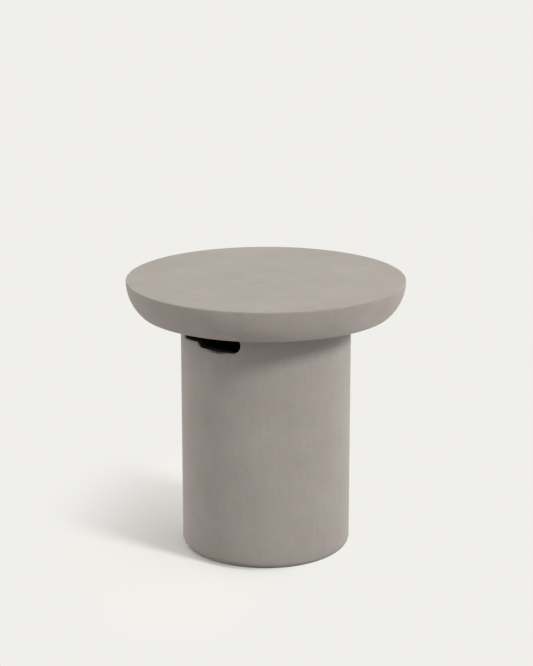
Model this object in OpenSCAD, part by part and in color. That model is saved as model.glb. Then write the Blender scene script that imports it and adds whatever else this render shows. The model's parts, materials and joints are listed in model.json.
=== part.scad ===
// Round concrete side table: a hollow cast top bolted to a hollow cast drum.
// Millimetres, +Z up, origin on the floor under the middle of the table.
// The front, where one hand hole shows left of the middle, faces -Y.

/* [Whole table] */
// Height of the top face above the floor
table_h = 500; // [430:5:620]
// Diameter of the top at its upper edge
top_d = 500; // [470:5:640]
// Outer diameter of the drum
drum_d = 306; // [290:2:330]

/* [Tabletop] */
// Depth of the top, from its face to the lip
top_depth = 58; // [50:1:70]
// Radius of the quarter round in the side
side_r = 76; // [72:1:110]
// Radius of the crisp upper edge
top_edge_r = 2; // [1:0.5:5]
// Radius of the lower edge of the lip
lip_edge_r = 4; // [2:0.5:6]
// Thickness of the slab under the top face
slab_t = 16; // [12:1:20]
// Width of the flat lip, from its rounded edge to the hollow
lip_w = 18; // [12:1:22]
// Height of the seat ring's face above the lip, so that the joint stays out of sight
seat_rise = 16; // [12:1:18]
// How far the seat ring stands out past the drum
seat_overhang = 8; // [4:1:14]
// Radius of the fillets in the cast hollows
cast_fillet = 8; // [4:1:9]
// Draft of the round walls in the top's hollows, in degrees
draft = 2; // [0:0.5:3]
// Number of ribs between the seat ring and the side
rib_count = 8; // [4:1:12]
// Thickness of a rib
rib_t = 11; // [8:1:16]
// Height of the ribs' lower edge above the lip
rib_rise = 10; // [6:1:14]
// Radius of the ribs' lower edges
rib_edge_r = 2; // [1:0.5:3]

/* [Drum] */
// Thickness of the drum's wall
wall_t = 15; // [12:1:18]
// Radius of the outer edge at the floor
foot_edge_r = 14; // [4:1:15]
// Radius of the outer edge at the rim
rim_edge_r = 3; // [1:0.5:5]
// Thickness of the flange that closes the rim
flange_t = 16; // [12:1:20]
// Diameter of the hole in the flange
flange_bore_d = 190; // [170:2:196]
// Radius of the edges of that hole
bore_edge_r = 2; // [1:0.5:3]
// Width of the foot ring inside the drum
foot_ring_w = 44; // [43:1:50]
// Height of the foot ring
foot_ring_h = 32; // [28:1:40]
// Radius of the foot ring's inner edge
ring_edge_r = 3; // [1:0.5:4]

/* [Hand holes] */
// Angle from the front to the middle of the left hand hole
hand_hole_angle = 34.5; // [0:0.5:60]
// Length of a hand hole
hand_hole_l = 92; // [70:1:110]
// Height of a hand hole
hand_hole_h = 30; // [22:1:32]
// From the lip down to a hand hole's lower edge
hand_hole_drop = 44; // [43:1:100]
// Angle from the middle of a hand hole to the middle of its narrow end
tail_angle = 25.8; // [24:0.1:30]
// Length of the narrow end
tail_l = 54; // [46:1:60]
// Height of the narrow end
tail_h = 12; // [8:1:14]
// Height of the narrow end's lower edge, at its middle, above the hand hole's lower edge
tail_rise = 6; // [4:0.5:9]
// Slope of the narrow end, down and away from the hand hole
tail_slope = 5.3; // [0:0.1:8]

/* [Bolts] */
// Number of bolts that hold the top
bolt_count = 4; // [3:1:6]
// Thread diameter of a bolt
bolt_d = 8; // [6:1:10]
// Length of a bolt under its head
bolt_l = 36; // [32:1:38]
// Width across the flats of a bolt's head
bolt_head_af = 13; // [10:0.5:17]
// Height of a bolt's head
bolt_head_h = 5.3; // [4:0.1:7]
// Outer diameter of a washer
washer_d = 24; // [20:1:28]
// Thickness of a washer
washer_t = 2; // [1:0.5:3]
// Thickness of the gasket
gasket_t = 2; // [1:0.5:3]
// Outer diameter of a sleeve
sleeve_d = 13; // [12:0.5:15]
// Length of a sleeve
sleeve_l = 22; // [20:1:23]
// Thickness of a sleeve's closed end
sleeve_end_t = 2; // [1:0.5:3]
// Diameter of the collar that keeps a sleeve from pulling out
sleeve_collar_d = 19; // [17:0.5:22]
// Height of the collar
sleeve_collar_h = 3; // [2:0.5:4]

/* [Feet] */
// Number of feet
foot_count = 4; // [3:1:6]
// Gap between the floor and the drum
foot_gap = 2; // [1:0.5:4]
// Diameter of a pad
pad_d = 24; // [20:1:25]
// Thickness of a pad
pad_t = 6; // [5:0.5:8]
// Thread diameter of a foot screw
screw_d = 5; // [4:0.5:6]
// Length of a foot screw under its head
screw_l = 18; // [14:1:19]
// Diameter of a foot screw's head
screw_head_d = 9.5; // [8:0.5:11]
// Height of a foot screw's head
screw_head_h = 2.6; // [2:0.1:3]
// Height of a foot screw's head above the floor
screw_head_rise = 0.6; // [0.4:0.1:1]
// Outer diameter of a plug
plug_d = 9; // [8:0.5:11]
// Length of a plug
plug_l = 18; // [17:1:20]
// Thickness of a plug's closed end
plug_end_t = 1; // [0.5:0.5:2]

/* [Clearances] */
// Gap all round a piece that is cast into concrete
cast_gap = 0.1; // [0.05:0.05:0.3]
// Gap between a bolt or screw and its thread
thread_gap = 0.1; // [0.05:0.05:0.2]
// Gap between a bolt or screw and the hole that it passes through
bolt_gap = 0.5; // [0.3:0.1:1]
// Gap round a pad in its pocket and round a screw's head in a pad
pad_gap = 0.3; // [0.2:0.1:0.5]

/* [Hidden] */
$fn = 96;
cut = 1;

concrete = [0.62, 0.59, 0.56];
rubber = [0.10, 0.10, 0.11];
steel = [0.72, 0.73, 0.75];
zinc = [0.78, 0.77, 0.70];
nylon = [0.55, 0.56, 0.58];

// Heights, from the lip down to the washers and from the floor up to the haunch
lip_z = table_h - top_depth;
slab_z = table_h - slab_t;
seat_z = lip_z + seat_rise;
rib_z = lip_z + rib_rise;
rim_z = seat_z - gasket_t;
flange_z = rim_z - flange_t;
washer_z = flange_z - washer_t;
hand_hole_z = lip_z - hand_hole_drop;
ring_z = foot_gap + foot_ring_h;
screw_seat_z = screw_head_rise + screw_head_h;

// Radii of the drum, and of the circles in the middle of the flange and of the foot ring's flat
top_r = top_d / 2;
drum_r = drum_d / 2;
drum_in_r = drum_r - wall_t;
flange_bore_r = flange_bore_d / 2;
foot_ring_r = drum_r - foot_ring_w;
bolt_circle_r = (flange_bore_r + drum_in_r - cast_fillet) / 2;
pad_circle_r = (foot_ring_r + ring_edge_r + drum_r - foot_edge_r) / 2;

// The quarter round of the side: its middle, and where the rounded lower edge touches it
side_x = top_r - side_r;
side_z = table_h - top_edge_r;
lip_edge_z = lip_z + lip_edge_r;
lip_edge_x = side_x + sqrt(pow(side_r - lip_edge_r, 2) - pow(side_z - lip_edge_z, 2));
hollow_r = lip_edge_x - lip_w;
seat_out_r = drum_r + seat_overhang;

// Outline of straight edges with rounded corners, from [x, y, corner radius] counterclockwise
function flat(p) = [p[0], p[1]];
function unit(v) = v / norm(v);
function cross_z(a, b) = a[0] * b[1] - a[1] * b[0];
module outline(corners) {
    n = len(corners);
    to_last = [for (i = [0:n - 1]) unit(flat(corners[(i + n - 1) % n]) - flat(corners[i]))];
    to_next = [for (i = [0:n - 1]) unit(flat(corners[(i + 1) % n]) - flat(corners[i]))];
    half = [for (i = [0:n - 1]) acos(to_last[i] * to_next[i]) / 2];
    reach = [for (i = [0:n - 1]) corners[i][2] / tan(half[i])];
    middle = [for (i = [0:n - 1])
        flat(corners[i]) + unit(to_last[i] + to_next[i]) * corners[i][2] / sin(half[i])];
    outward = [for (i = [0:n - 1]) cross_z(to_next[i], to_last[i]) > 0];
    points = [for (i = [0:n - 1]) each corners[i][2] == 0
        ? [flat(corners[i])]
        : [flat(corners[i]) + to_last[i] * reach[i], flat(corners[i]) + to_next[i] * reach[i]]];
    difference() {
        union() {
            polygon(points);
            for (i = [0:n - 1])
                if (corners[i][2] > 0 && outward[i]) translate(middle[i]) circle(corners[i][2]);
        }
        for (i = [0:n - 1])
            if (corners[i][2] > 0 && !outward[i]) translate(middle[i]) circle(corners[i][2]);
    }
}

// Bar with half-round ends, length along X and height along Z, that runs from the axis out along -Y
module obround_bar(l, h, reach) {
    rotate([90, 0, 0]) linear_extrude(reach) union() {
        square([l - h, h], center = true);
        for (side = [-1, 1]) translate([side * (l - h) / 2, 0]) circle(h / 2);
    }
}

// Places children at equal steps round the axis, starting between front and left
module round_axis(i, count) rotate(225 + 360 * (i - 1) / count) children();

// Space for one hand hole with its narrow end, on the side that faces -Y
module hand_hole() {
    translate([0, 0, hand_hole_z + hand_hole_h / 2])
        obround_bar(hand_hole_l, hand_hole_h, drum_r + cut);
    rotate(-tail_angle)
        translate([0, 0, hand_hole_z + tail_rise + tail_h / 2])
        rotate([0, -tail_slope, 0])
        obround_bar(tail_l, tail_h, drum_r + cut);
}

// Section of the solid top before its hollows: quarter-round side with both edges rounded
module top_section() {
    lip_edge = [lip_edge_x, lip_edge_z];
    touch = unit(lip_edge - [side_x, side_z]) * side_r + [side_x, side_z];
    difference() {
        union() {
            translate([0, lip_z]) square([side_x, top_depth]);
            intersection() {
                translate([side_x, side_z]) circle(side_r);
                translate([side_x, lip_z]) square([side_r, side_z - lip_z]);
            }
            translate([side_x, side_z]) square([side_r - top_edge_r, top_edge_r]);
            intersection() {
                translate([top_r - top_edge_r, side_z]) circle(top_edge_r);
                translate([top_r - top_edge_r, side_z]) square(top_edge_r);
            }
        }
        difference() {
            polygon([
                lip_edge,
                [lip_edge_x, lip_z - cut],
                [touch[0] + cut, lip_z - cut],
                [touch[0] + cut, touch[1]],
                touch
            ]);
            translate(lip_edge) circle(lip_edge_r);
        }
    }
}

// Section of the ring-shaped hollow between the seat ring and the side
module hollow_section() {
    lean = (slab_z - lip_z) * tan(draft);
    outline([
        [seat_out_r, lip_z - cut, 0],
        [hollow_r, lip_z - cut, 0],
        [hollow_r - lean, slab_z, cast_fillet],
        [seat_out_r + lean, slab_z, cast_fillet]
    ]);
}

// Section of the space for the drum's rim and of the recess inside the seat ring
module seat_section() {
    lean = (slab_z - seat_z) * tan(draft);
    outline([
        [0, lip_z - cut, 0],
        [seat_out_r + cut, lip_z - cut, 0],
        [seat_out_r + cut, seat_z, 0],
        [flange_bore_r, seat_z, 0],
        [flange_bore_r - lean, slab_z, cast_fillet],
        [0, slab_z, 0]
    ]);
}

// Section across a rib, with fillets where it runs into the slab
module rib_section() {
    side = rib_t / 2;
    flare = side + 2 * cast_fillet;
    outline([
        [-side, rib_z, rib_edge_r],
        [side, rib_z, rib_edge_r],
        [side, slab_z, cast_fillet],
        [flare, slab_z, 0],
        [flare, slab_z + cut, 0],
        [-flare, slab_z + cut, 0],
        [-flare, slab_z, 0],
        [-side, slab_z, cast_fillet]
    ]);
}

// Sleeve's outer shape, from its mouth up, made larger all round by a gap
module sleeve_shape(gap) {
    cylinder(h = sleeve_l + gap, r = sleeve_d / 2 + gap);
    translate([0, 0, sleeve_l - sleeve_collar_h - gap])
        cylinder(h = sleeve_collar_h + 2 * gap, r = sleeve_collar_d / 2 + gap);
}

module tabletop() color(concrete) difference() {
    union() {
        difference() {
            rotate_extrude() top_section();
            rotate_extrude() hollow_section();
        }
        for (i = [0:rib_count - 1]) rotate(360 * (i + 0.5) / rib_count)
            translate([seat_out_r - cut, 0, 0])
            rotate([90, 0, 90])
            linear_extrude(hollow_r - seat_out_r + 2 * cut)
            rib_section();
    }
    rotate_extrude() seat_section();
    for (i = [1:bolt_count]) round_axis(i, bolt_count)
        translate([bolt_circle_r, 0, seat_z - cut]) union() {
            cylinder(h = cut * 2, r = sleeve_d / 2 + cast_gap);
            translate([0, 0, cut]) sleeve_shape(cast_gap);
        }
}

// The foot ring's upper side slopes up to the wall at 45 degrees
module base_drum() color(concrete) difference() {
    rotate_extrude() outline([
        [foot_ring_r, foot_gap, ring_edge_r],
        [drum_r, foot_gap, foot_edge_r],
        [drum_r, rim_z, rim_edge_r],
        [flange_bore_r, rim_z, bore_edge_r],
        [flange_bore_r, flange_z, bore_edge_r],
        [drum_in_r, flange_z, cast_fillet],
        [drum_in_r, ring_z + drum_in_r - foot_ring_r, cast_fillet],
        [foot_ring_r, ring_z, cast_fillet]
    ]);
    for (turn = [0, 180]) rotate(turn - hand_hole_angle) hand_hole();
    for (i = [1:bolt_count]) round_axis(i, bolt_count)
        translate([bolt_circle_r, 0, flange_z - cut])
        cylinder(h = flange_t + 2 * cut, r = bolt_d / 2 + bolt_gap);
    for (i = [1:foot_count]) round_axis(i, foot_count) translate([pad_circle_r, 0, 0]) {
        cylinder(h = pad_t, r = pad_d / 2 + pad_gap);
        cylinder(h = pad_t + plug_l + cast_gap, r = plug_d / 2 + cast_gap);
    }
}

module seat_gasket() color(rubber) difference() {
    translate([0, 0, rim_z]) cylinder(h = gasket_t, r = drum_r - rim_edge_r);
    translate([0, 0, rim_z - cut]) cylinder(h = gasket_t + 2 * cut, r = flange_bore_r + bore_edge_r);
    for (i = [1:bolt_count]) round_axis(i, bolt_count)
        translate([bolt_circle_r, 0, rim_z - cut])
        cylinder(h = gasket_t + 2 * cut, r = bolt_d / 2 + bolt_gap);
}

module top_sleeve(i) color(zinc) round_axis(i, bolt_count) translate([bolt_circle_r, 0, seat_z])
    difference() {
        sleeve_shape(0);
        translate([0, 0, -cut])
            cylinder(h = sleeve_l - sleeve_end_t + cut, r = bolt_d / 2 + thread_gap);
    }

module top_washer(i) color(steel) round_axis(i, bolt_count) translate([bolt_circle_r, 0, washer_z])
    difference() {
        cylinder(h = washer_t, r = washer_d / 2);
        translate([0, 0, -cut]) cylinder(h = washer_t + 2 * cut, r = bolt_d / 2 + bolt_gap);
    }

module top_bolt(i) color(steel) round_axis(i, bolt_count) translate([bolt_circle_r, 0, washer_z]) {
    cylinder(h = bolt_l, r = bolt_d / 2);
    translate([0, 0, -bolt_head_h])
        cylinder(h = bolt_head_h, r = bolt_head_af / 2 / cos(30), $fn = 6);
}

module foot_pad(i) color(rubber) round_axis(i, foot_count) translate([pad_circle_r, 0, 0])
    difference() {
        cylinder(h = pad_t, r = pad_d / 2);
        translate([0, 0, -cut]) cylinder(h = screw_seat_z + cut, r = screw_head_d / 2 + pad_gap);
        translate([0, 0, -cut]) cylinder(h = pad_t + 2 * cut, r = screw_d / 2 + bolt_gap);
    }

module foot_plug(i) color(nylon) round_axis(i, foot_count) translate([pad_circle_r, 0, pad_t])
    difference() {
        cylinder(h = plug_l, r = plug_d / 2);
        translate([0, 0, -cut])
            cylinder(h = plug_l - plug_end_t + cut, r = screw_d / 2 + thread_gap);
    }

module foot_screw(i) color(steel) round_axis(i, foot_count)
    translate([pad_circle_r, 0, screw_head_rise]) {
        cylinder(h = screw_head_h, r = screw_head_d / 2);
        translate([0, 0, screw_head_h]) cylinder(h = screw_l, r = screw_d / 2);
    }

tabletop();
base_drum();
seat_gasket();
for (i = [1:bolt_count]) {
    top_sleeve(i);
    top_washer(i);
    top_bolt(i);
}
for (i = [1:foot_count]) {
    foot_pad(i);
    foot_plug(i);
    foot_screw(i);
}
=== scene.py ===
import json
import math

import bmesh
import bpy
from mathutils import Matrix, Vector

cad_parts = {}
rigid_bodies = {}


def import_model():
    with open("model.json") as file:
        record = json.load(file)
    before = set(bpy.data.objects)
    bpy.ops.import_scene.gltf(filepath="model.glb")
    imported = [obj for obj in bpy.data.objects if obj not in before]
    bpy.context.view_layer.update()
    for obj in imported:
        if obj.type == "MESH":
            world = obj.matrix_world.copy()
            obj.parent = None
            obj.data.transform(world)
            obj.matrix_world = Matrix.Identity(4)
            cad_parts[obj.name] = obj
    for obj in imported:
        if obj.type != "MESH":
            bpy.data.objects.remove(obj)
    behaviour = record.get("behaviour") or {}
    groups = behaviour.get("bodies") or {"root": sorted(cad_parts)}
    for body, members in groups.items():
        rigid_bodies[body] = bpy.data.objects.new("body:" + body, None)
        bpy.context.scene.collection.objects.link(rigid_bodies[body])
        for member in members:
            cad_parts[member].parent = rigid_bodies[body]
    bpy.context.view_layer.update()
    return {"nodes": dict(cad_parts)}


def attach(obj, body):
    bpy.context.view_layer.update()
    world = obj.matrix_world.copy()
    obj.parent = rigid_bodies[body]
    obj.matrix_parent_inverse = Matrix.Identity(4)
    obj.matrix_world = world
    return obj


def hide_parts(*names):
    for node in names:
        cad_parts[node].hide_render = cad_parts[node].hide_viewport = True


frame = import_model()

# ---------------------------------------------------------------------------------------------
# Base drum
# The hollow drum of glass-fibre concrete that carries the top, cast in one piece between a shell
# and a core. It has a flange under the top, a foot ring at the floor and two hand holes.
# ---------------------------------------------------------------------------------------------
MM = 0.001
TURN = 2 * math.pi

DRUM_R, DRUM_IN_R, FLANGE_R, RING_R = 153, 138, 95, 109
FOOT_Z, RING_Z, HAUNCH_Z, FLANGE_Z, RIM_Z = 2, 34, 63, 440, 456
FOOT_EDGE, RIM_EDGE, FLANGE_EDGE, CAST_FILLET = 14, 3, 2, 8
# A hole's middle is a height in mm, its turn is in degrees to the left of the front.
HAND_HOLE = {"length": 92, "height": 30, "middle": 413, "turn": 34.5, "slope": 0}
NARROW_END = {"length": 54, "height": 12, "middle": 410, "turn": 34.5 + 25.8, "slope": 5.3}
HOLE_POINTS, HOLE_ROUND, HOLE_ARC, HOLE_ARC_STEPS = 96, 2.4, math.radians(75), 6
HOLE_TIP, HOLE_CLEAR = 2, 15
BOLT_CIRCLE_R, BOLT_HOLE_R = 112.5, 4.5
PAD_CIRCLE_R, POCKET_R, POCKET_TOP = 125.5, 12.3, 6
PLUG_HOLE_R, PLUG_HOLE_TOP = 4.6, 24.1
FIRST_FIXING = math.radians(225)
BORE_POINTS = 48
WELD = 0.001 * MM
# Within this radius, above the foot, the drum's faces are painted nearly black: painted shade in
# its hollow.
PAINTED_SHADE_WITHIN = DRUM_R - 3.5


def rounded(corners, closed, step=9.0, bend=9.0, support=0.6):
    """A profile in mm through corners that are given as (radius, height, rounding).

    A rounding bends by no more than `bend` degrees at a point. A straight run has a point about
    every `step` mm and one at `support` mm from each end, which keeps its shading flat.
    """
    points, ends, count = [], [], len(corners)
    for i, (x, z, r) in enumerate(corners):
        here = Vector((x, z))
        if r == 0 or (not closed and i in (0, count - 1)):
            ends.append([here])
            continue
        back = (Vector(corners[i - 1][:2]) - here).normalized()
        on = (Vector(corners[(i + 1) % count][:2]) - here).normalized()
        half = math.acos(max(-1, min(1, back.dot(on)))) / 2
        middle = here + (back + on).normalized() * r / math.sin(half)
        first = here + back * r / math.tan(half) - middle
        last = here + on * r / math.tan(half) - middle
        sweep = math.atan2(first.x * last.y - first.y * last.x, first.dot(last))
        pieces = max(2, math.ceil(abs(math.degrees(sweep)) / bend))
        ends.append([middle + Matrix.Rotation(sweep * k / pieces, 2) @ first
                     for k in range(pieces + 1)])
    for i, arc in enumerate(ends):
        points += arc
        if i == count - 1 and not closed:
            break
        start, end = arc[-1], ends[(i + 1) % count][0]
        length = (end - start).length
        if length > 4 * support:
            way, flat = (end - start) / length, length - 2 * support
            inner = max(1, round(flat / step))
            points += [start + way * (support + flat * k / inner) for k in range(inner + 1)]
    return points


def line_object(name, points):
    """A profile as an object: its points, in metres, on the XZ plane, in order."""
    mesh = bpy.data.meshes.new(name)
    lines = [(i, i + 1) for i in range(len(points) - 1)]
    mesh.from_pydata([(p.x * MM, 0, p.y * MM) for p in points], lines, [])
    thing = bpy.data.objects.new(name, mesh)
    bpy.context.scene.collection.objects.link(thing)
    return thing


def rings_mesh(name, rings):
    """A closed mesh through rings of as many points each, capped at both ends, facing outwards."""
    bm = bmesh.new()
    loops = [[bm.verts.new(p) for p in ring] for ring in rings]
    for low, high in zip(loops, loops[1:]):
        for i in range(len(low)):
            j = (i + 1) % len(low)
            bm.faces.new((low[i], low[j], high[j], high[i]))
    bm.faces.new(list(reversed(loops[0])))
    bm.faces.new(loops[-1])
    bmesh.ops.recalc_face_normals(bm, faces=bm.faces)
    mesh = bpy.data.meshes.new(name)
    bm.to_mesh(mesh)
    bm.free()
    return mesh


def hole_cutter(hole, round_by):
    """The space of a hand hole or of its narrow end, turned round the axis by some degrees.

    It has the same outline all the way through the wall, and flares where it meets the drum's
    inner and outer face, as if the mouth of the hole had been rubbed round.
    """
    end_r = hole["height"] / 2
    end_x = hole["length"] / 2 - end_r
    outline = []
    for k in range(HOLE_POINTS):
        a = TURN * (k + 0.5) / HOLE_POINTS
        outline.append((Vector((math.copysign(end_x, math.cos(a)), 0)),
                        Vector((math.cos(a), math.sin(a)))))
    arc = [HOLE_ARC * k / HOLE_ARC_STEPS for k in range(HOLE_ARC_STEPS + 1)]
    flare = [(HOLE_ROUND * math.sin(a), HOLE_ROUND * (1 - math.cos(a))) for a in arc]
    depth, width = flare[-1]
    flare.append((depth + HOLE_TIP * math.cos(HOLE_ARC), width + HOLE_TIP * math.sin(HOLE_ARC)))
    inner = [(DRUM_IN_R + depth - d, grow) for d, grow in flare]
    outer = [(DRUM_R - depth + d, grow) for d, grow in flare]
    outer.append((DRUM_R + HOLE_CLEAR, outer[-1][1]))
    slope = math.radians(hole["slope"])
    spin = Matrix.Rotation(math.radians(round_by - hole["turn"]), 3, "Z")
    rings = []
    for radius, grow in inner[::-1] + outer:
        ring = []
        for centre, way in outline:
            p = centre + way * (end_r + grow)
            x = p.x * math.cos(slope) - p.y * math.sin(slope)
            z = p.x * math.sin(slope) + p.y * math.cos(slope) + hole["middle"]
            ring.append(spin @ Vector((x, -math.sqrt(radius ** 2 - x ** 2), z)) * MM)
        rings.append(ring)
    return rings_mesh("hand_hole_space", rings)


def round_space(circle_r, r, low, high, turn):
    """A cylinder of empty space that stands on a circle round the axis."""
    middle = Vector((circle_r * math.cos(turn), circle_r * math.sin(turn), 0))
    angles = [TURN * k / BORE_POINTS for k in range(BORE_POINTS)]
    return rings_mesh("round_space", [
        [(middle + Vector((r * math.cos(a), r * math.sin(a), z))) * MM for a in angles]
        for z in (low, high)
    ])


def tool_set(name, meshes):
    """A collection of objects that only lend their shapes to a node tree."""
    group = bpy.data.collections.new(name)
    for mesh in meshes:
        group.objects.link(bpy.data.objects.new(mesh.name, mesh))
    return group


def add_node(tree, kind, inputs=None, **settings):
    """Adds a node with its settings, and sets or links its inputs.

    An input is linked where it is given a socket, or a node, which stands for its first live
    output. A list makes several links to one input.
    """
    made = tree.nodes.new(kind)
    for name, value in settings.items():
        setattr(made, name, value)
    for key, values in (inputs or {}).items():
        for value in values if isinstance(values, list) else [values]:
            if isinstance(value, bpy.types.Node):
                value = next(output for output in value.outputs if output.enabled)
            if isinstance(value, bpy.types.NodeSocket):
                tree.links.new(value, made.inputs[key])
            else:
                made.inputs[key].default_value = value
    return made


def turned(tree, profile, steps, form=None):
    """Adds the nodes that turn a profile round the axis, as a grid with a row for each point.

    A form gives each point of the grid its radius, from its radius, height, angle and row.
    """
    rows = add_node(tree, "GeometryNodeAttributeDomainSize", {"Geometry": profile})
    columns = add_node(tree, "FunctionNodeIntegerMath", {0: steps, 1: 1})
    grid = add_node(tree, "GeometryNodeMeshGrid", {"Vertices X": columns, "Vertices Y": rows})
    index = add_node(tree, "GeometryNodeInputIndex")
    row = add_node(tree, "FunctionNodeIntegerMath", {0: index, 1: rows}, operation="MODULO")
    column = add_node(tree, "FunctionNodeIntegerMath", {0: index, 1: rows}, operation="DIVIDE")
    share = add_node(tree, "ShaderNodeMath", {0: column, 1: steps}, operation="DIVIDE")
    angle = add_node(tree, "ShaderNodeMath", {0: share, 1: TURN}, operation="MULTIPLY")
    point = add_node(tree, "GeometryNodeSampleIndex", {
        "Geometry": profile, "Value": add_node(tree, "GeometryNodeInputPosition"), "Index": row,
    }, data_type="FLOAT_VECTOR")
    point = add_node(tree, "ShaderNodeSeparateXYZ", {"Vector": point}).outputs
    radius = form(point["X"], point["Z"], angle, row) if form else point["X"]
    cosine = add_node(tree, "ShaderNodeMath", {0: angle}, operation="COSINE")
    sine = add_node(tree, "ShaderNodeMath", {0: angle}, operation="SINE")
    x = add_node(tree, "ShaderNodeMath", {0: radius, 1: cosine}, operation="MULTIPLY")
    y = add_node(tree, "ShaderNodeMath", {0: radius, 1: sine}, operation="MULTIPLY")
    spot = add_node(tree, "ShaderNodeCombineXYZ", {"X": x, "Y": y, "Z": point["Z"]})
    shell = add_node(tree, "GeometryNodeSetPosition", {"Geometry": grid, "Position": spot})
    return add_node(tree, "GeometryNodeMergeByDistance", {"Geometry": shell, "Distance": WELD})


def round_the_axis(tree, pieces, count, circle=0.0, first=0.0, spin=0.0):
    """Adds the nodes that repeat each of a set of pieces at equal steps round the axis.

    The repeats stand on a circle, from the angle `first` on, and are turned by their angle and
    by `spin`.
    """
    kinds = add_node(tree, "GeometryNodeAttributeDomainSize", {"Geometry": pieces},
                     component="INSTANCES")
    total = add_node(tree, "FunctionNodeIntegerMath", {0: count, 1: kinds}, operation="MULTIPLY")
    index = add_node(tree, "GeometryNodeInputIndex")
    kind = add_node(tree, "FunctionNodeIntegerMath", {0: index, 1: count}, operation="DIVIDE")
    share = add_node(tree, "ShaderNodeMath", {0: index, 1: count}, operation="DIVIDE")
    angle = add_node(tree, "ShaderNodeMath", {0: share, 1: TURN, 2: first},
                     operation="MULTIPLY_ADD")
    cosine = add_node(tree, "ShaderNodeMath", {0: angle}, operation="COSINE")
    sine = add_node(tree, "ShaderNodeMath", {0: angle}, operation="SINE")
    way = add_node(tree, "ShaderNodeCombineXYZ", {"X": cosine, "Y": sine})
    place = add_node(tree, "ShaderNodeVectorMath", {0: way, "Scale": circle}, operation="SCALE")
    points = add_node(tree, "GeometryNodePoints", {"Count": total, "Position": place})
    turn = add_node(tree, "ShaderNodeMath", {0: angle, 1: spin})
    turn = add_node(tree, "FunctionNodeAxisAngleToRotation", {"Axis": (0, 0, 1), "Angle": turn})
    return add_node(tree, "GeometryNodeInstanceOnPoints", {
        "Points": points, "Instance": pieces, "Pick Instance": True, "Instance Index": kind,
        "Rotation": turn,
    })


def new_tree(name, inputs, output):
    """A geometry node tree with its named inputs and its output."""
    tree = bpy.data.node_groups.new(name, "GeometryNodeTree")
    tree.is_modifier = True
    for label, kind, default in inputs:
        socket = tree.interface.new_socket(label, in_out="INPUT", socket_type="NodeSocket" + kind)
        if default is not None:
            socket.default_value = default
    tree.interface.new_socket(output, in_out="OUTPUT", socket_type="NodeSocketGeometry")
    return tree, add_node(tree, "NodeGroupInput").outputs


def finished(tree, geometry, material):
    """Adds the end of a tree: real instances, their material and the output."""
    real = add_node(tree, "GeometryNodeRealizeInstances", {"Geometry": geometry})
    dressed = add_node(tree, "GeometryNodeSetMaterial", {"Geometry": real, "Material": material})
    add_node(tree, "NodeGroupOutput", {0: dressed})
    return tree


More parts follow.
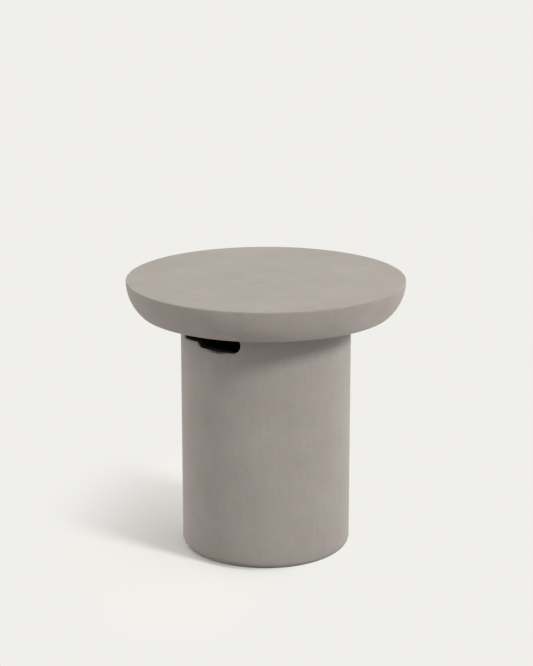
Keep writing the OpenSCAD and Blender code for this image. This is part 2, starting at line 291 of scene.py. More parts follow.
def casting_tree():
    """Geometry nodes that turn a profile round the axis and finish it as a casting."""
    tree, given = new_tree("casting", (
        ("Profile", "Geometry", None),
        ("Steps Around", "Int", 480),
        ("Rib", "Collection", None),
        ("Rib Count", "Int", 0),
        ("Single Spaces", "Collection", None),
        ("Spaces at a Fixing", "Collection", None),
        ("Fixing Count", "Int", 4),
        ("Relief Depth", "Float", 0.2 * MM),
        ("Relief Size", "Float", 60 * MM),
        ("Pore Radius", "Float", 0.6 * MM),
        ("Smallest Pore", "Float", 0.5),
        ("Largest Pore", "Float", 1.6),
        ("Pore Spacing", "Float", 35 * MM),
        ("Pores per Square Metre", "Float", 900.0),
        ("Pores Beyond Radius", "Float", 150 * MM),
        ("Pores Below Height", "Float", 450 * MM),
        ("Seed", "Int", 1),
        ("Material", "Material", None),
    ), "Casting")
    shell = turned(tree, given["Profile"], given["Steps Around"])

    # The shallow unevenness that the mould and the sanding leave, always inwards.
    place = add_node(tree, "GeometryNodeInputPosition")
    size = add_node(tree, "ShaderNodeMath", {0: 1.0, 1: given["Relief Size"]}, operation="DIVIDE")
    uneven = add_node(tree, "ShaderNodeTexNoise", {"Vector": place, "Scale": size, "Detail": 2.0})
    depth = add_node(tree, "ShaderNodeMath", {0: uneven, 1: given["Relief Depth"]},
                     operation="MULTIPLY")
    inwards = add_node(tree, "ShaderNodeMath", {0: depth, 1: -1.0}, operation="MULTIPLY")
    normal = add_node(tree, "GeometryNodeInputNormal")
    offset = add_node(tree, "ShaderNodeVectorMath", {0: normal, "Scale": inwards},
                      operation="SCALE")
    shell = add_node(tree, "GeometryNodeSetPosition", {"Geometry": shell, "Offset": offset})

    # Pores: small round pits where air bubbles lay against the mould.
    at = add_node(tree, "ShaderNodeSeparateXYZ", {"Vector": place}).outputs
    flat = add_node(tree, "ShaderNodeCombineXYZ", {"X": at["X"], "Y": at["Y"]})
    out = add_node(tree, "ShaderNodeVectorMath", {0: flat}, operation="LENGTH")
    beyond = add_node(tree, "ShaderNodeMath", {0: out, 1: given["Pores Beyond Radius"]},
                      operation="GREATER_THAN")
    below = add_node(tree, "ShaderNodeMath", {0: at["Z"], 1: given["Pores Below Height"]},
                     operation="LESS_THAN")
    chosen = add_node(tree, "ShaderNodeMath", {0: beyond, 1: below}, operation="MULTIPLY")
    spots = add_node(tree, "GeometryNodeDistributePointsOnFaces", {
        "Mesh": shell, "Selection": chosen, "Distance Min": given["Pore Spacing"],
        "Density Max": given["Pores per Square Metre"], "Seed": given["Seed"],
    }, distribute_method="POISSON")
    ball = add_node(tree, "GeometryNodeMeshIcoSphere", {
        "Radius": given["Pore Radius"], "Subdivisions": 2})
    big = add_node(tree, "FunctionNodeRandomValue", {
        "Min": given["Smallest Pore"], "Max": given["Largest Pore"], "Seed": given["Seed"]})
    pits = add_node(tree, "GeometryNodeInstanceOnPoints", {
        "Points": spots, "Instance": ball, "Scale": big})
    pits = add_node(tree, "GeometryNodeRealizeInstances", {"Geometry": pits})

    # Ribs are joined on, then the hand holes, the holes of the fixings and the pores are cut.
    rib, single, fixing = [add_node(tree, "GeometryNodeCollectionInfo", {
        "Collection": given[label], "Separate Children": True,
    }) for label in ("Rib", "Single Spaces", "Spaces at a Fixing")]
    half = add_node(tree, "ShaderNodeMath", {0: TURN / 2, 1: given["Rib Count"]},
                    operation="DIVIDE")
    ribs = round_the_axis(tree, rib, given["Rib Count"], first=half)
    whole = add_node(tree, "GeometryNodeMeshBoolean", {"Mesh 2": [shell, ribs]},
                     operation="UNION", solver="MANIFOLD")
    fixings = round_the_axis(tree, fixing, given["Fixing Count"])
    cut = add_node(tree, "GeometryNodeMeshBoolean", {
        "Mesh 1": whole, "Mesh 2": [single, fixings, pits],
    }, operation="DIFFERENCE", solver="MANIFOLD")
    return finished(tree, cut, given["Material"])


def made_by(tree, source, name, values, sharp=35):
    """Runs a node tree on a source object and keeps the result as a plain mesh of that name.

    Its shading is smooth over edges of up to `sharp` degrees.
    """
    modifier = source.modifiers.new("shape", "NODES")
    modifier.node_group = tree
    for item in tree.interface.items_tree:
        if item.in_out == "INPUT" and item.name in values:
            modifier[item.identifier] = values[item.name]
    graph = bpy.context.evaluated_depsgraph_get()
    mesh = bpy.data.meshes.new_from_object(source.evaluated_get(graph), depsgraph=graph)
    source.modifiers.remove(modifier)
    mesh.name = name
    mesh.shade_smooth()
    mesh.set_sharp_from_angle(angle=math.radians(sharp))
    piece = bpy.data.objects.new(name, mesh)
    bpy.context.scene.collection.objects.link(piece)
    return piece


def linear(code):
    """A colour from its sRGB hex value, as the linear values that the shaders take."""
    parts = [int(code[i:i + 2], 16) / 255 for i in (1, 3, 5)]
    return tuple(c / 12.92 if c <= 0.04045 else ((c + 0.055) / 1.055) ** 2.4
                 for c in parts) + (1.0,)


def size_mm(length):
    """The texture scale, on object coordinates, whose features are about that long in mm."""
    return 1000.0 / length


def new_material(name):
    """A material with an empty tree, and the object coordinates that its patterns are drawn on."""
    material = bpy.data.materials.new(name)
    material.use_nodes = True
    tree = material.node_tree
    tree.nodes.clear()
    return material, tree, add_node(tree, "ShaderNodeTexCoord").outputs["Object"]


def cast_concrete(name, tones, rubbed, edge, painted_shade_within=None):
    """Glass-fibre concrete, cast in a smooth mould, rubbed down by hand and sealed matt.

    To the eye: a dry warm grey with hardly a sheen, clouds of paler and yellower cement, faint
    streaks where it was rubbed, fine sand and a few pinholes, which are darkened with painted
    shade. Its edge is paler, a little worn and painted with a highlight. The lowest part is darker,
    with painted shade where the foot meets the floor and a little dirt. Faces inside are painted
    nearly black, as painted shade in the hollow.

    The tones are those of the darker paste, the paler paste and the yellower patches. It is
    rubbed along one axis. The edge is given by its radius and height in mm.
    """
    material, tree, where = new_material(name)
    darker, paler, yellower = [linear(code) for code in tones]
    shades = []

    # Clouds of 60 mm of darker and paler cement paste, with yellower patches of 21 mm in them.
    paste = add_node(tree, "ShaderNodeTexNoise", {
        "Vector": where, "Scale": size_mm(60), "Detail": 5.0, "Roughness": 0.62})
    paste = add_node(tree, "ShaderNodeMapRange", {
        "Value": paste, "From Min": 0.28, "From Max": 0.72})
    colour = add_node(tree, "ShaderNodeMix", {"Factor": paste, "A": darker, "B": paler},
                      data_type="RGBA")
    patch = add_node(tree, "ShaderNodeTexNoise", {
        "Vector": where, "Scale": size_mm(21), "Detail": 3.0})
    patch = add_node(tree, "ShaderNodeMapRange", {
        "Value": patch, "From Min": 0.5, "From Max": 0.72, "To Max": 0.6})
    colour = add_node(tree, "ShaderNodeMix", {"Factor": patch, "A": colour, "B": yellower},
                      data_type="RGBA")

    # Streaks of the rubbing block, 5 mm wide and about seven times as long.
    drawn = add_node(tree, "ShaderNodeMapping", {
        "Vector": where, "Scale": tuple(0.15 if axis == rubbed else 1 for axis in "XYZ")})
    streak = add_node(tree, "ShaderNodeTexNoise", {
        "Vector": drawn, "Scale": size_mm(5), "Detail": 2.0})
    shades.append(add_node(tree, "ShaderNodeMapRange", {
        "Value": streak, "From Min": 0.3, "From Max": 0.7, "To Min": 0.974, "To Max": 1.026}))

    # Sand in the paste, grains of about 1 mm, drawn at 1.6 mm to show.
    sand = add_node(tree, "ShaderNodeTexNoise", {
        "Vector": where, "Scale": size_mm(1.6), "Detail": 2.0, "Roughness": 0.7})
    shades.append(add_node(tree, "ShaderNodeMapRange", {
        "Value": sand, "From Min": 0.25, "From Max": 0.75, "To Min": 0.92, "To Max": 1.08}))

    # Pinholes of about 1 mm, in one cell of five, sunk by the bump and darkened with painted shade
    # in the pit.
    cell = add_node(tree, "ShaderNodeTexVoronoi", {"Vector": where, "Scale": size_mm(7)}).outputs
    lot = add_node(tree, "ShaderNodeSeparateColor", {"Color": cell["Color"]}).outputs["Red"]
    near = add_node(tree, "ShaderNodeMapRange", {
        "Value": cell["Distance"], "From Min": 0.05, "From Max": 0.1, "To Min": 1.0, "To Max": 0.0})
    kept = add_node(tree, "ShaderNodeMath", {0: lot, 1: 0.2}, operation="LESS_THAN")
    pin = add_node(tree, "ShaderNodeMath", {0: near, 1: kept}, operation="MULTIPLY")
    shades.append(add_node(tree, "ShaderNodeMapRange", {
        "Value": pin, "To Min": 1.0, "To Max": 0.7}))

    # The edge, paler in a band of 3 mm, more so along the streaks: a little wear, and a painted
    # highlight along the rim.
    at = add_node(tree, "ShaderNodeSeparateXYZ", {"Vector": where}).outputs
    flat = add_node(tree, "ShaderNodeCombineXYZ", {"X": at["X"], "Y": at["Y"]})
    out = add_node(tree, "ShaderNodeVectorMath", {0: flat}, operation="LENGTH")
    section = add_node(tree, "ShaderNodeCombineXYZ", {"X": out, "Y": at["Z"]})
    off = add_node(tree, "ShaderNodeVectorMath", {
        0: section, 1: (edge[0] * MM, edge[1] * MM, 0)}, operation="DISTANCE")
    worn_edge_and_highlight = add_node(tree, "ShaderNodeMapRange", {
        "Value": off, "From Min": 1 * MM, "From Max": 4 * MM, "To Min": 0.09, "To Max": 0.0})
    shades.append(add_node(tree, "ShaderNodeMath", {0: worn_edge_and_highlight, 1: streak, 2: 1.0},
                           operation="MULTIPLY_ADD"))

    # The lowest 8 to 20 mm, in patches of 30 mm, is darker: painted shade where the foot meets the
    # floor, and a little dirt.
    foot_shade_and_dirt_height = add_node(tree, "ShaderNodeTexNoise", {
        "Vector": where, "Scale": size_mm(30), "Detail": 3.0})
    foot_shade_and_dirt_height = add_node(tree, "ShaderNodeMath", {0: foot_shade_and_dirt_height, 1: 12 * MM, 2: 8 * MM},
                     operation="MULTIPLY_ADD")
    shades.append(add_node(tree, "ShaderNodeMapRange", {
        "Value": at["Z"], "From Min": FOOT_Z * MM, "From Max": foot_shade_and_dirt_height,
        "To Min": 0.8, "To Max": 1.0}))

    for shade in shades:
        colour = add_node(tree, "ShaderNodeVectorMath", {0: colour, "Scale": shade},
                          operation="SCALE")

    # Faces within a radius, above the foot, painted nearly black: painted shade inside the hollow
    # drum and its hand holes.
    if painted_shade_within:
        inside = add_node(tree, "ShaderNodeMapRange", {
            "Value": out, "From Min": painted_shade_within * MM,
            "From Max": (painted_shade_within + 1.5) * MM, "To Min": 1.0, "To Max": 0.0})
        high = add_node(tree, "ShaderNodeMath", {0: at["Z"], 1: 20 * MM}, operation="GREATER_THAN")
        painted_inner_shade = add_node(tree, "ShaderNodeMath", {0: inside, 1: high}, operation="MULTIPLY")
        colour = add_node(tree, "ShaderNodeMix", {
            "Factor": painted_inner_shade, "A": colour, "B": linear("#2B2623")}, data_type="RGBA")

    matt = add_node(tree, "ShaderNodeMapRange", {"Value": paste, "To Min": 0.6, "To Max": 0.72})
    deep = add_node(tree, "ShaderNodeMath", {0: pin, 1: -2.0, 2: sand}, operation="MULTIPLY_ADD")
    bump = add_node(tree, "ShaderNodeBump", {
        "Strength": 0.5, "Distance": 0.12 * MM, "Height": deep})
    shader = add_node(tree, "ShaderNodeBsdfPrincipled", {
        "Base Color": colour, "Roughness": matt, "Normal": bump,
        "IOR": 1.5, "Specular IOR Level": 0.4, "Diffuse Roughness": 0.8})
    add_node(tree, "ShaderNodeOutputMaterial", {"Surface": shader})
    return material


CASTING = casting_tree()
drum_line = rounded([
    (RING_R, FOOT_Z, RIM_EDGE), (DRUM_R, FOOT_Z, FOOT_EDGE),
    (DRUM_R, RIM_Z, RIM_EDGE), (FLANGE_R, RIM_Z, FLANGE_EDGE),
    (FLANGE_R, FLANGE_Z, FLANGE_EDGE), (DRUM_IN_R, FLANGE_Z, CAST_FILLET),
    (DRUM_IN_R, HAUNCH_Z, CAST_FILLET), (RING_R, RING_Z, CAST_FILLET),
], closed=True)
drum_profile = line_object("drum_profile", drum_line + drum_line[:1])
hand_holes = tool_set("hand_holes", [
    hole_cutter(hole, round_by) for round_by in (0, 180) for hole in (HAND_HOLE, NARROW_END)])
# The spaces run a little past the faces that they cut.
drum_fixing = tool_set("drum_fixing", [
    round_space(BOLT_CIRCLE_R, BOLT_HOLE_R, FLANGE_Z - 2, RIM_Z + 2, FIRST_FIXING),
    round_space(PAD_CIRCLE_R, POCKET_R, 0, POCKET_TOP, FIRST_FIXING),
    round_space(PAD_CIRCLE_R, PLUG_HOLE_R, POCKET_TOP - 1, PLUG_HOLE_TOP, FIRST_FIXING),
])
drum = made_by(CASTING, drum_profile, "drum", {
    "Steps Around": 420, "Single Spaces": hand_holes, "Spaces at a Fixing": drum_fixing,
    "Relief Depth": 0.2 * MM, "Relief Size": 60 * MM,
    "Pore Radius": 0.6 * MM, "Pore Spacing": 35 * MM,
    "Pores Beyond Radius": (DRUM_R - 1.5) * MM, "Pores Below Height": 450 * MM, "Seed": 4,
    "Material": cast_concrete("cast_fibre_concrete_drum", ("#9E9790", "#A7A09A", "#A59D94"),
                              "Z", (DRUM_R, RIM_Z), PAINTED_SHADE_WITHIN),
})
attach(drum, "root")
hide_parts("base_drum")

# ---------------------------------------------------------------------------------------------
# Feet
# Moulded rubber pads in pockets under the foot ring, each held by a button-head screw in a nylon
# plug that is cast into the concrete. The pads stand 2 mm proud, so the drum clears the floor.
# ---------------------------------------------------------------------------------------------
PAD_R, PAD_T, PAD_HOLE_R, PAD_RECESS_R = 12, 6, 3, 5.05
PAD_GROOVES, GROOVE_W, GROOVE_H = (7, 9.2), 0.6, 0.5
SCREW_R, SCREW_L, SCREW_SEAT_Z, SCREW_PITCH, SCREW_THREAD = 2.5, 18, 3.2, 1.8, 0.5
SCREW_HEAD_R, SCREW_HEAD_H, SOCKET_FLATS, SOCKET_R = 4.75, 2.6, 3, 1.8
PLUG_R, PLUG_L, PLUG_END, PLUG_BORE_R, PLUG_THREAD = 4.5, 18, 1, 2.6, 0.35
PLUG_RIB, PLUG_RIB_STEP, PLUG_RIB_POINTS = 0.4, 0.95, 18
THREAD_POINTS = 4


def small_profile(name, base, runs):
    """The profile of a small part from its runs of points, which start at a height in mm.

    Each run comes with the width of its flats and the depth of its thread, or 0 for neither.
    """
    points = [(x, z + base, flats, thread) for run, flats, thread in runs for x, z in run]
    thing = line_object(name, [Vector(p[:2]) for p in points])
    for column, label in ((2, "flats"), (3, "thread")):
        values = [p[column] * MM for p in points]
        thing.data.attributes.new(label, "FLOAT", "POINT").data.foreach_set("value", values)
    return thing


def threaded(radius, low, high, pitch, depth):
    """A run of points along a thread, a few to each turn of it."""
    count = round(abs(high - low) / pitch * THREAD_POINTS)
    return [(radius, low + (high - low) * k / count) for k in range(count + 1)], 0, depth


def small_parts_tree():
    """Geometry nodes that turn a small part from its profile and repeat it round the axis."""
    tree, given = new_tree("turned_small_parts", (
        ("Profile", "Geometry", None),
        ("Steps Around", "Int", 36),
        ("Thread Pitch", "Float", 1.25 * MM),
        ("Count", "Int", 4),
        ("Circle Radius", "Float", 100 * MM),
        ("First Angle", "Float", 0.0),
        ("Seed", "Int", 1),
        ("Material", "Material", None),
    ), "Small Parts")

    def with_flats_and_thread(radius, height, angle, row):
        flats, thread = [add_node(tree, "GeometryNodeSampleIndex", {
            "Geometry": given["Profile"], "Index": row,
            "Value": add_node(tree, "GeometryNodeInputNamedAttribute", {"Name": label}),
        }) for label in ("flats", "thread")]
        # A point with flats lies no further out than a hexagon of that width.
        side = add_node(tree, "ShaderNodeMath", {0: angle, 1: TURN / 6}, operation="MODULO")
        side = add_node(tree, "ShaderNodeMath", {0: side, 1: TURN / 12}, operation="SUBTRACT")
        side = add_node(tree, "ShaderNodeMath", {0: side}, operation="COSINE")
        half = add_node(tree, "ShaderNodeMath", {0: flats, 1: 0.5}, operation="MULTIPLY")
        hexagon = add_node(tree, "ShaderNodeMath", {0: half, 1: side}, operation="DIVIDE")
        plain = add_node(tree, "ShaderNodeMath", {0: flats, 1: 0.01 * MM}, operation="LESS_THAN")
        limit = add_node(tree, "ShaderNodeMath", {0: hexagon, 1: plain}, operation="ADD")
        radius = add_node(tree, "ShaderNodeMath", {0: radius, 1: limit}, operation="MINIMUM")
        # The thread is a zigzag that climbs by its pitch in one turn.
        climb = add_node(tree, "ShaderNodeMath", {0: height, 1: given["Thread Pitch"]},
                         operation="DIVIDE")
        turn = add_node(tree, "ShaderNodeMath", {0: angle, 1: TURN}, operation="DIVIDE")
        phase = add_node(tree, "ShaderNodeMath", {0: climb, 1: turn}, operation="SUBTRACT")
        wave = add_node(tree, "ShaderNodeMath", {0: phase, 1: 0.5}, operation="PINGPONG")
        cut = add_node(tree, "ShaderNodeMath", {0: wave, 1: thread}, operation="MULTIPLY")
        return add_node(tree, "ShaderNodeMath", {0: cut, 1: -2.0, 2: radius},
                        operation="MULTIPLY_ADD")

    part = turned(tree, given["Profile"], given["Steps Around"], with_flats_and_thread)
    part = add_node(tree, "GeometryNodeGeometryToInstance", {"Geometry": part})
    spin = add_node(tree, "FunctionNodeRandomValue", {
        "Min": 0.0, "Max": TURN, "Seed": given["Seed"]})
    ring = round_the_axis(tree, part, given["Count"], given["Circle Radius"],
                          given["First Angle"], spin)
    return finished(tree, ring, given["Material"])


def fitted(name, stands_for, base, runs, values):
    """Makes four small parts from the runs of their profile, in the place of their CAD nodes."""
    profile = small_profile(stands_for, base, runs)
    piece = made_by(SMALL_PARTS, profile, name, {"First Angle": FIRST_FIXING, **values}, sharp=28)
    bpy.data.objects.remove(profile)
    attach(piece, "root")
    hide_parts(*[f"{stands_for}_{k}" for k in range(1, 5)])


def fine_finish(name, tones, rough, grain, relief, patch=9, metallic=0.0):
    """A finish with two tones in soft patches, whose gloss they change, and a fine grain.

    The sizes of the grain, of its relief and of the patches are in mm.
    """
    material, tree, where = new_material(name)
    fine = add_node(tree, "ShaderNodeTexNoise", {
        "Vector": where, "Scale": size_mm(grain), "Detail": 3.0})
    wide = add_node(tree, "ShaderNodeTexNoise", {
        "Vector": where, "Scale": size_mm(patch), "Detail": 3.0})
    wide = add_node(tree, "ShaderNodeMapRange", {
        "Value": wide, "From Min": 0.35, "From Max": 0.65})
    colour = add_node(tree, "ShaderNodeMix", {
        "Factor": wide, "A": linear(tones[0]), "B": linear(tones[1])}, data_type="RGBA")
    matt = add_node(tree, "ShaderNodeMapRange", {
        "Value": wide, "To Min": rough[0], "To Max": rough[1]})
    bump = add_node(tree, "ShaderNodeBump", {
        "Strength": 0.4, "Distance": relief * MM, "Height": fine})
    shader = add_node(tree, "ShaderNodeBsdfPrincipled", {
        "Base Color": colour, "Roughness": matt, "Normal": bump, "Metallic": metallic})
    add_node(tree, "ShaderNodeOutputMaterial", {"Surface": shader})
    return material


SMALL_PARTS = small_parts_tree()

# EPDM rubber, moulded in a spark-eroded mould: dull black with a grain of 0.8 mm and a grey bloom.
black_rubber = fine_finish("moulded_epdm_rubber", ("#1F1F20", "#2B2B2C"), (0.7, 0.85), 0.8, 0.03)
# Stainless steel, cold-formed and tumbled: a soft grey sheen, with fine marks of 0.4 mm.
stainless = fine_finish("cold_formed_stainless_steel", ("#B3B4B6", "#C0C1C2"), (0.28, 0.42),
                        0.4, 0.02, metallic=1.0)
# Nylon, moulded: even grey and satin, with a grain of 1 mm and flow marks of 5 mm, which show
# more in the gloss than in the colour.
grey_nylon = fine_finish("moulded_grey_nylon", ("#878A8D", "#8E9194"), (0.42, 0.56),
                         1.0, 0.015, patch=5)

grooves = [(r + across, up, 0) for r in PAD_GROOVES
           for across, up in ((0, 0), (0, GROOVE_H), (GROOVE_W, GROOVE_H), (GROOVE_W, 0))]
pad_line = rounded([
    (PAD_RECESS_R, 0, 0.3), *grooves, (PAD_R, 0, 0.9), (PAD_R, PAD_T, 0.6),
    (PAD_HOLE_R, PAD_T, 0), (PAD_HOLE_R, SCREW_SEAT_Z, 0.3), (PAD_RECESS_R, SCREW_SEAT_Z, 0.3),
], closed=True, bend=22, support=0.2)
fitted("foot_pads", "foot_pad", 0, [(pad_line + pad_line[:1], 0, 0)], {
    "Steps Around": 48, "Circle Radius": PAD_CIRCLE_R * MM, "Material": black_rubber,
})
plug_ribs = [(PLUG_R - PLUG_RIB * (1 - k % 2), 0.4 + PLUG_RIB_STEP * k)
             for k in range(PLUG_RIB_POINTS)]
fitted("foot_plugs", "foot_plug", PAD_T, [
    ([(0, PLUG_L - PLUG_END), (PLUG_BORE_R, PLUG_L - PLUG_END)], 0, 0),
    threaded(PLUG_BORE_R, PLUG_L - PLUG_END - 1, 1, SCREW_PITCH, -PLUG_THREAD),
    ([(PLUG_BORE_R, 0.3), (PLUG_BORE_R + 0.3, 0), (PLUG_R - PLUG_RIB, 0), *plug_ribs], 0, 0),
    ([(PLUG_R, PLUG_L - 0.8), (PLUG_R - 0.6, PLUG_L), (0, PLUG_L)], 0, 0),
], {
    "Circle Radius": PAD_CIRCLE_R * MM, "Thread Pitch": SCREW_PITCH * MM, "Seed": 3,
    "Material": grey_nylon,
})
# The screw's runs: the floor of its socket, the socket's six sides, the round head up to the
# shank, the thread and the chamfered tip.
fitted("foot_screws", "foot_screw", SCREW_SEAT_Z, [
    ([(0, -1)], 0, 0),
    ([(SOCKET_R, -1.2), (SOCKET_R, -SCREW_HEAD_H + 0.1)], SOCKET_FLATS, 0),
    ([(1.9, -SCREW_HEAD_H), (2.6, -SCREW_HEAD_H), (3.3, -2.35), (3.9, -1.95), (4.35, -1.4),
      (4.65, -0.8), (SCREW_HEAD_R, -0.3), (SCREW_HEAD_R, -0.08), (SCREW_HEAD_R - 0.1, 0),
      (SCREW_R, 0), (SCREW_R, 0.6)], 0, 0),
    threaded(SCREW_R, 0.9, SCREW_L - 1.2, SCREW_PITCH, SCREW_THREAD),
    ([(SCREW_R - 0.4, SCREW_L - 0.9), (SCREW_R - 1.2, SCREW_L), (0, SCREW_L)], 0, 0),
], {
    "Circle Radius": PAD_CIRCLE_R * MM, "Thread Pitch": SCREW_PITCH * MM, "Seed": 7,
    "Material": stainless,
})

# ---------------------------------------------------------------------------------------------
# Fixings of the top
# A cut rubber ring lies on the flange. Stainless hexagon bolts with wide stamped washers come up
# through the flange into zinc-plated sleeves, which are cast into the top by their collars.
# ---------------------------------------------------------------------------------------------
WASHER_Z, WASHER_R, WASHER_T = 438, 12, 2
BOLT_R, BOLT_L, BOLT_PLAIN, BOLT_PITCH, BOLT_THREAD = 4, 36, 14, 1.25, 0.7
HEAD_FLATS, HEAD_H, HEAD_FACE_R, HEAD_CONE_R, HEAD_CONE_STEPS = 13, 5.3, 5.9, 6.15, 4
SLEEVE_Z, SLEEVE_R, SLEEVE_L, SLEEVE_END, SLEEVE_BORE_R, SLEEVE_THREAD = 458, 6.5, 22, 2, 4.1, 0.6
COLLAR_R, COLLAR_H = 9.5, 3


def dress(node, material):
    """Gives a CAD node its finish."""
    slots = frame["nodes"][node].data.materials
    slots.clear()
    slots.append(material)


# EPDM sheet, cut to a ring: the same black rubber, with the coarser face of rolled sheet.
dress("seat_gasket", fine_finish("rolled_epdm_sheet", ("#202021", "#2A2A2A"), (0.68, 0.8),
                                 1.4, 0.04, patch=16))
# Steel, zinc-plated and passivated: pale metal, clouded straw yellow, duller than the stainless.
zinc_plate = fine_finish("zinc_plated_steel", ("#B9BABB", "#B8AF97"), (0.36, 0.5),
                         0.7, 0.02, patch=6, metallic=1.0)

washer_line = rounded([
    (BOLT_HOLE_R, 0, 0.15), (WASHER_R, 0, 0.5), (WASHER_R, WASHER_T, 0.15),
    (BOLT_HOLE_R, WASHER_T, 0.3),
], closed=True, step=3, bend=22, support=0.15)
fitted("top_washers", "top_washer", WASHER_Z, [
    (washer_line + washer_line[:1], 0, 0),
], {
    "Steps Around": 48, "Circle Radius": BOLT_CIRCLE_R * MM, "Material": stainless,
})
# The bolt's runs: the face of its head, the chamfer that the corners cut off, the six sides up
# to the washer, the plain shank, the thread and the chamfered tip.
corner_r = HEAD_FLATS / 2 / math.cos(TURN / 12)
cone = [(HEAD_CONE_R + (corner_r - HEAD_CONE_R) * k / HEAD_CONE_STEPS, 0.08 - HEAD_H + 0.2 * k)
        for k in range(HEAD_CONE_STEPS + 1)]
fitted("top_bolts", "top_bolt", WASHER_Z, [
    ([(0, -HEAD_H), (HEAD_FACE_R, -HEAD_H), cone[0]], 0, 0),
    (cone[1:], HEAD_FLATS, 0),
    ([(corner_r, -0.7), (corner_r - 0.4, -0.45), (6.3, -0.35)], HEAD_FLATS, 0),
    ([(6.3, 0), (BOLT_R, 0), (BOLT_R, BOLT_PLAIN - 0.3)], 0, 0),
    threaded(BOLT_R, BOLT_PLAIN, BOLT_L - 1.2, BOLT_PITCH, BOLT_THREAD),
    ([(BOLT_R - 0.2, BOLT_L - 0.8), (BOLT_R - 0.9, BOLT_L), (0, BOLT_L)], 0, 0),
], {
    "Steps Around": 48, "Circle Radius": BOLT_CIRCLE_R * MM, "Thread Pitch": BOLT_PITCH * MM,
    "Seed": 5, "Material": stainless,
})
fitted("top_sleeves", "top_sleeve", SLEEVE_Z, [
    ([(0, SLEEVE_L - SLEEVE_END), (SLEEVE_BORE_R, SLEEVE_L - SLEEVE_END)], 0, 0),
    threaded(SLEEVE_BORE_R, SLEEVE_L - SLEEVE_END - 1, 1, BOLT_PITCH, -SLEEVE_THREAD),
    ([(SLEEVE_BORE_R, 0.6), (SLEEVE_BORE_R + 0.6, 0), (SLEEVE_R - 0.2, 0), (SLEEVE_R, 0.2),
      (SLEEVE_R, SLEEVE_L - COLLAR_H), (COLLAR_R, SLEEVE_L - COLLAR_H), (COLLAR_R, SLEEVE_L),
      (0, SLEEVE_L)], 0, 0),
], {
    "Circle Radius": BOLT_CIRCLE_R * MM, "Thread Pitch": BOLT_PITCH * MM, "Seed": 9,
    "Material": zinc_plate,
})

# ---------------------------------------------------------------------------------------------
# Tabletop
# The hollow top of the same concrete, cast face down: a flat face with a crisp edge, a side like a
# quarter round, and underneath a seat ring and eight ribs.
# ---------------------------------------------------------------------------------------------
TOP_R, TOP_Z, LIP_Z, SLAB_Z, SEAT_Z, RIB_Z = 250, 500, 442, 484, 458, 452
SIDE_R, TOP_EDGE, LIP_EDGE, LIP_IN_EDGE, LIP_W, SEAT_R = 76, 2, 4, 0.5, 18, 161
EDGE_STEPS, SIDE_STEPS = 6, 16
DRAFT, RIB_COUNT, RIB_T, RIB_EDGE = math.radians(2), 8, 11, 2
CAST_GAP = 0.1


def on_circle(middle, radius, angle):
    """A point on a circle, from the angle at which it lies."""
    return middle + radius * Vector((math.cos(angle), math.sin(angle)))


side_middle = Vector((TOP_R - SIDE_R, TOP_Z - TOP_EDGE))
edge_middle = Vector((TOP_R - TOP_EDGE, TOP_Z - TOP_EDGE))
lip_edge_z = LIP_Z + LIP_EDGE
lip_edge_x = side_middle.x + math.sqrt((SIDE_R - LIP_EDGE) ** 2 - (side_middle.y - lip_edge_z) ** 2)
hollow_r = lip_edge_x - LIP_W
lean = math.tan(DRAFT)
under = rounded([
    (0, SLAB_Z, 0),
    (FLANGE_R - (SLAB_Z - SEAT_Z) * lean, SLAB_Z, CAST_FILLET),
    (FLANGE_R, SEAT_Z, 0),
    (SEAT_R + (SEAT_Z - LIP_Z) * lean, SEAT_Z, 0),
    (SEAT_R + (SLAB_Z - LIP_Z) * lean, SLAB_Z, CAST_FILLET),
    (hollow_r - (SLAB_Z - LIP_Z) * lean, SLAB_Z, CAST_FILLET),
    (hollow_r, LIP_Z, LIP_IN_EDGE),
    (lip_edge_x, LIP_Z, 0),
], closed=False)
# The side: the lip's round outer edge, the quarter round, and the crisp edge of the face.
from_lip = math.atan2(lip_edge_z - side_middle.y, lip_edge_x - side_middle.x)
side = [on_circle(Vector((lip_edge_x, lip_edge_z)), LIP_EDGE,
                  (math.pi / 2 + from_lip) * k / EDGE_STEPS - math.pi / 2)
        for k in range(1, EDGE_STEPS)]
side += [on_circle(side_middle, SIDE_R, from_lip * (1 - k / SIDE_STEPS))
         for k in range(SIDE_STEPS + 1)]
side += [on_circle(edge_middle, TOP_EDGE, math.pi / 2 * k / EDGE_STEPS)
         for k in range(1, EDGE_STEPS + 1)]
face = rounded([(TOP_R - TOP_EDGE, TOP_Z, 0), (0, TOP_Z, 0)], closed=False)[1:]
top_profile = line_object("top_profile", under + side + face)


def rib_mesh():
    """A rib along X, from the seat ring to the side, with fillets where it runs into the slab."""
    half, flare = RIB_T / 2, RIB_T / 2 + 2 * CAST_FILLET
    outline = rounded([
        (-half, RIB_Z, RIB_EDGE), (half, RIB_Z, RIB_EDGE),
        (half, SLAB_Z, CAST_FILLET), (flare, SLAB_Z, 0),
        (flare, SLAB_Z + 1, 0), (-flare, SLAB_Z + 1, 0),
        (-flare, SLAB_Z, 0), (-half, SLAB_Z, CAST_FILLET),
    ], closed=True)
    return rings_mesh("rib", [[Vector((x, p.x, p.y)) * MM for p in outline]
                              for x in (SEAT_R + 1, hollow_r + 1)])


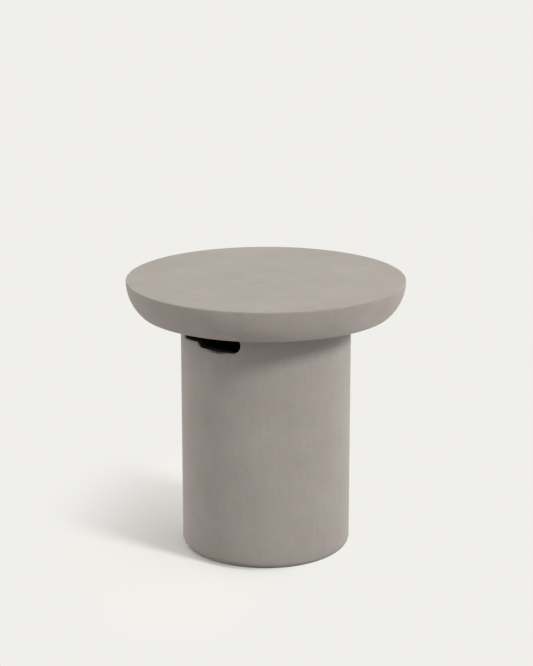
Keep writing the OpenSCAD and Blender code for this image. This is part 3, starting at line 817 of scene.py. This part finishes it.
rib = tool_set("rib", [rib_mesh()])
sleeve_top = SEAT_Z + SLEEVE_L + CAST_GAP
sleeve_space = tool_set("sleeve_space", [
    round_space(BOLT_CIRCLE_R, SLEEVE_R + CAST_GAP, SEAT_Z - 1, sleeve_top, FIRST_FIXING),
    round_space(BOLT_CIRCLE_R, COLLAR_R + CAST_GAP, SEAT_Z + SLEEVE_L - COLLAR_H - CAST_GAP,
                sleeve_top, FIRST_FIXING),
])
top = made_by(CASTING, top_profile, "top", {
    "Steps Around": 480, "Rib": rib, "Rib Count": RIB_COUNT, "Spaces at a Fixing": sleeve_space,
    "Relief Depth": 0.15 * MM, "Relief Size": 70 * MM,
    "Pore Radius": 0.6 * MM, "Pore Spacing": 40 * MM,
    "Pores Beyond Radius": 222 * MM, "Pores Below Height": (TOP_Z - 6) * MM, "Seed": 11,
    "Material": cast_concrete("cast_fibre_concrete_top", ("#989189", "#A39C96", "#A0988E"),
                              "X", (TOP_R - 0.5, TOP_Z - 0.5)),
})
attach(top, "root")
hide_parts("tabletop")
for group in (hand_holes, drum_fixing, rib, sleeve_space):
    for tool in list(group.objects):
        bpy.data.objects.remove(tool)
    bpy.data.collections.remove(group)
for tool in (drum_profile, top_profile):
    bpy.data.objects.remove(tool)

# ---------------------------------------------------------------------------------------------
# Studio
# A pale floor that runs out into a pale backdrop, one broad lamp at the front right and the soft
# light of a white room.
# ---------------------------------------------------------------------------------------------
# Places and distances in the studio are in metres.
FLOOR_REACH = 30
PAPER, BACKDROP = linear("#EDECE8"), linear("#F0EFEB")
BOUNCE, BOUNCE_AT_FOOT = (0.505, 0.492, 0.505, 1), (0.03, 0.03, 0.03, 1)
FOOT_DARK, FOOT_CLEAR = 0.155, 0.205
SHADOW_MIDDLE, SHADOW_SCALE = (-0.167, 0.033, 0), (1, 0.48, 1)
SHADOW_FULL, SHADOW_GONE = 0.007, 0.288
WALLS = (
    ("X", 1.0, 1.11, (1, 1, 1)),
    ("X", -1.0, 2.02, (1.014, 1, 0.985)),
    ("Y", 1.0, 0.56, (1, 1, 1)),
)
LAMP_STRENGTH, LAMP_AWAY, LAMP_SPREAD, LAMP_AIM_Z = 2.07, 8, math.radians(13), 0.3
LAMP_TURN, LAMP_RISE = math.radians(54), math.radians(34)
FRAME_W, FRAME_H = 533, 666
FOCAL_PX, CENTRE_X, CENTRE_Y, SENSOR_W = 1813.6, 265.9, 290.0, 36
CAMERA_AWAY, CAMERA_Z, CAMERA_PITCH = 3.1486, 1.2619, 0.2445


def seen_by_camera(tree):
    """Adds the nodes that give 1 for what the camera sees, also in metal and glass, or else 0."""
    rays = add_node(tree, "ShaderNodeLightPath").outputs
    seen = rays["Is Camera Ray"]
    for ray in ("Is Glossy Ray", "Is Transmission Ray"):
        seen = add_node(tree, "ShaderNodeMath", {0: seen, 1: rays[ray]}, operation="MAXIMUM")
    return seen


scene = bpy.context.scene
floor_mesh = bpy.data.meshes.new("floor")
corners = [(x * FLOOR_REACH, y * FLOOR_REACH, 0) for x, y in ((-1, -1), (1, -1), (1, 1), (-1, 1))]
floor_mesh.from_pydata(corners, [], [(0, 1, 2, 3)])
floor = bpy.data.objects.new("floor", floor_mesh)
scene.collection.objects.link(floor)

# Matt paper, pale and even to the eye. It is lit, and so holds the shadow, only round the place
# where the table's shadow falls. Light that it throws back on the table is a weaker grey,
# and hardly any comes from the strip right at the foot.
paper, tree, where = new_material("matt_backdrop_paper")
seen = seen_by_camera(tree)
away = add_node(tree, "ShaderNodeVectorMath", {0: where, 1: SHADOW_MIDDLE}, operation="SUBTRACT")
away = add_node(tree, "ShaderNodeVectorMath", {0: away, 1: SHADOW_SCALE}, operation="MULTIPLY")
away = add_node(tree, "ShaderNodeVectorMath", {0: away}, operation="LENGTH")
plain = add_node(tree, "ShaderNodeMapRange", {
    "Value": away, "From Min": SHADOW_FULL, "From Max": SHADOW_GONE,
}, interpolation_type="SMOOTHSTEP")
plain = add_node(tree, "ShaderNodeMath", {0: plain, 1: seen}, operation="MULTIPLY")
from_foot = add_node(tree, "ShaderNodeVectorMath", {0: where}, operation="LENGTH")
from_foot = add_node(tree, "ShaderNodeMapRange", {
    "Value": from_foot, "From Min": FOOT_DARK, "From Max": FOOT_CLEAR})
bounce = add_node(tree, "ShaderNodeMix", {
    "Factor": from_foot, "A": BOUNCE_AT_FOOT, "B": BOUNCE}, data_type="RGBA")
tone = add_node(tree, "ShaderNodeMix", {
    "Factor": seen, "A": bounce, "B": PAPER}, data_type="RGBA")
lit = add_node(tree, "ShaderNodeBsdfDiffuse", {"Color": tone})
glow = add_node(tree, "ShaderNodeEmission", {"Color": BACKDROP})
mixed = add_node(tree, "ShaderNodeMixShader", {0: plain, 1: lit, 2: glow})
add_node(tree, "ShaderNodeOutputMaterial", {"Surface": mixed})
floor.data.materials.append(paper)

# White walls on the right, on the left and behind the table, each given by its axis, its side,
# its strength and its tint. Each is brightest straight across.
world = bpy.data.worlds.new("white_room")
world.use_nodes = True
scene.world = world
room = world.node_tree
room.nodes.clear()
way = add_node(room, "ShaderNodeTexCoord").outputs["Generated"]
way = add_node(room, "ShaderNodeSeparateXYZ", {"Vector": way}).outputs
light = (0, 0, 0)
for axis, side_of_room, strength, tint in WALLS:
    wall = add_node(room, "ShaderNodeMapRange", {
        "Value": way[axis], "From Max": side_of_room, "To Max": strength})
    wall = add_node(room, "ShaderNodeVectorMath", {0: tint, "Scale": wall}, operation="SCALE")
    light = add_node(room, "ShaderNodeVectorMath", {0: wall, 1: light}, operation="ADD")
light = add_node(room, "ShaderNodeMix", {
    "Factor": seen_by_camera(room), "A": light, "B": BACKDROP}, data_type="RGBA")
light = add_node(room, "ShaderNodeBackground", {"Color": light})
add_node(room, "ShaderNodeOutputWorld", {"Surface": light})

# The lamp is a disc 8 m away, so the table is a little brighter on the side nearer to it. Its
# strength is the light on a face that is turned to it, in watts per square metre.
lamp = bpy.data.lights.new("broad_lamp", "AREA")
lamp.shape = "DISK"
lamp.energy = LAMP_STRENGTH * math.pi * LAMP_AWAY ** 2
lamp.size = 2 * LAMP_AWAY * math.tan(LAMP_SPREAD / 2)
key = bpy.data.objects.new("broad_lamp", lamp)
scene.collection.objects.link(key)
level = math.cos(LAMP_RISE)
to_lamp = Vector((level * math.sin(LAMP_TURN), -level * math.cos(LAMP_TURN), math.sin(LAMP_RISE)))
key.rotation_euler = to_lamp.to_track_quat("Z", "Y").to_euler()
key.location = LAMP_AWAY * to_lamp + Vector((0, 0, LAMP_AIM_Z))

# The camera stands 3.1 m away and looks down by 14 degrees. The photograph's frame lies a little
# below the middle of the lens, which keeps the drum's sides nearly parallel.
eye = bpy.data.cameras.new("camera")
eye.sensor_fit = "AUTO"
eye.sensor_width = SENSOR_W
eye.lens = FOCAL_PX / FRAME_H * SENSOR_W
eye.shift_x = (FRAME_W / 2 - CENTRE_X) / FRAME_H
eye.shift_y = (CENTRE_Y - FRAME_H / 2) / FRAME_H
camera = bpy.data.objects.new("camera", eye)
scene.collection.objects.link(camera)
camera.location = (0, -CAMERA_AWAY, CAMERA_Z)
camera.rotation_euler = (math.pi / 2 - CAMERA_PITCH, 0, 0)
scene.camera = camera
scene.view_settings.view_transform = "Standard"
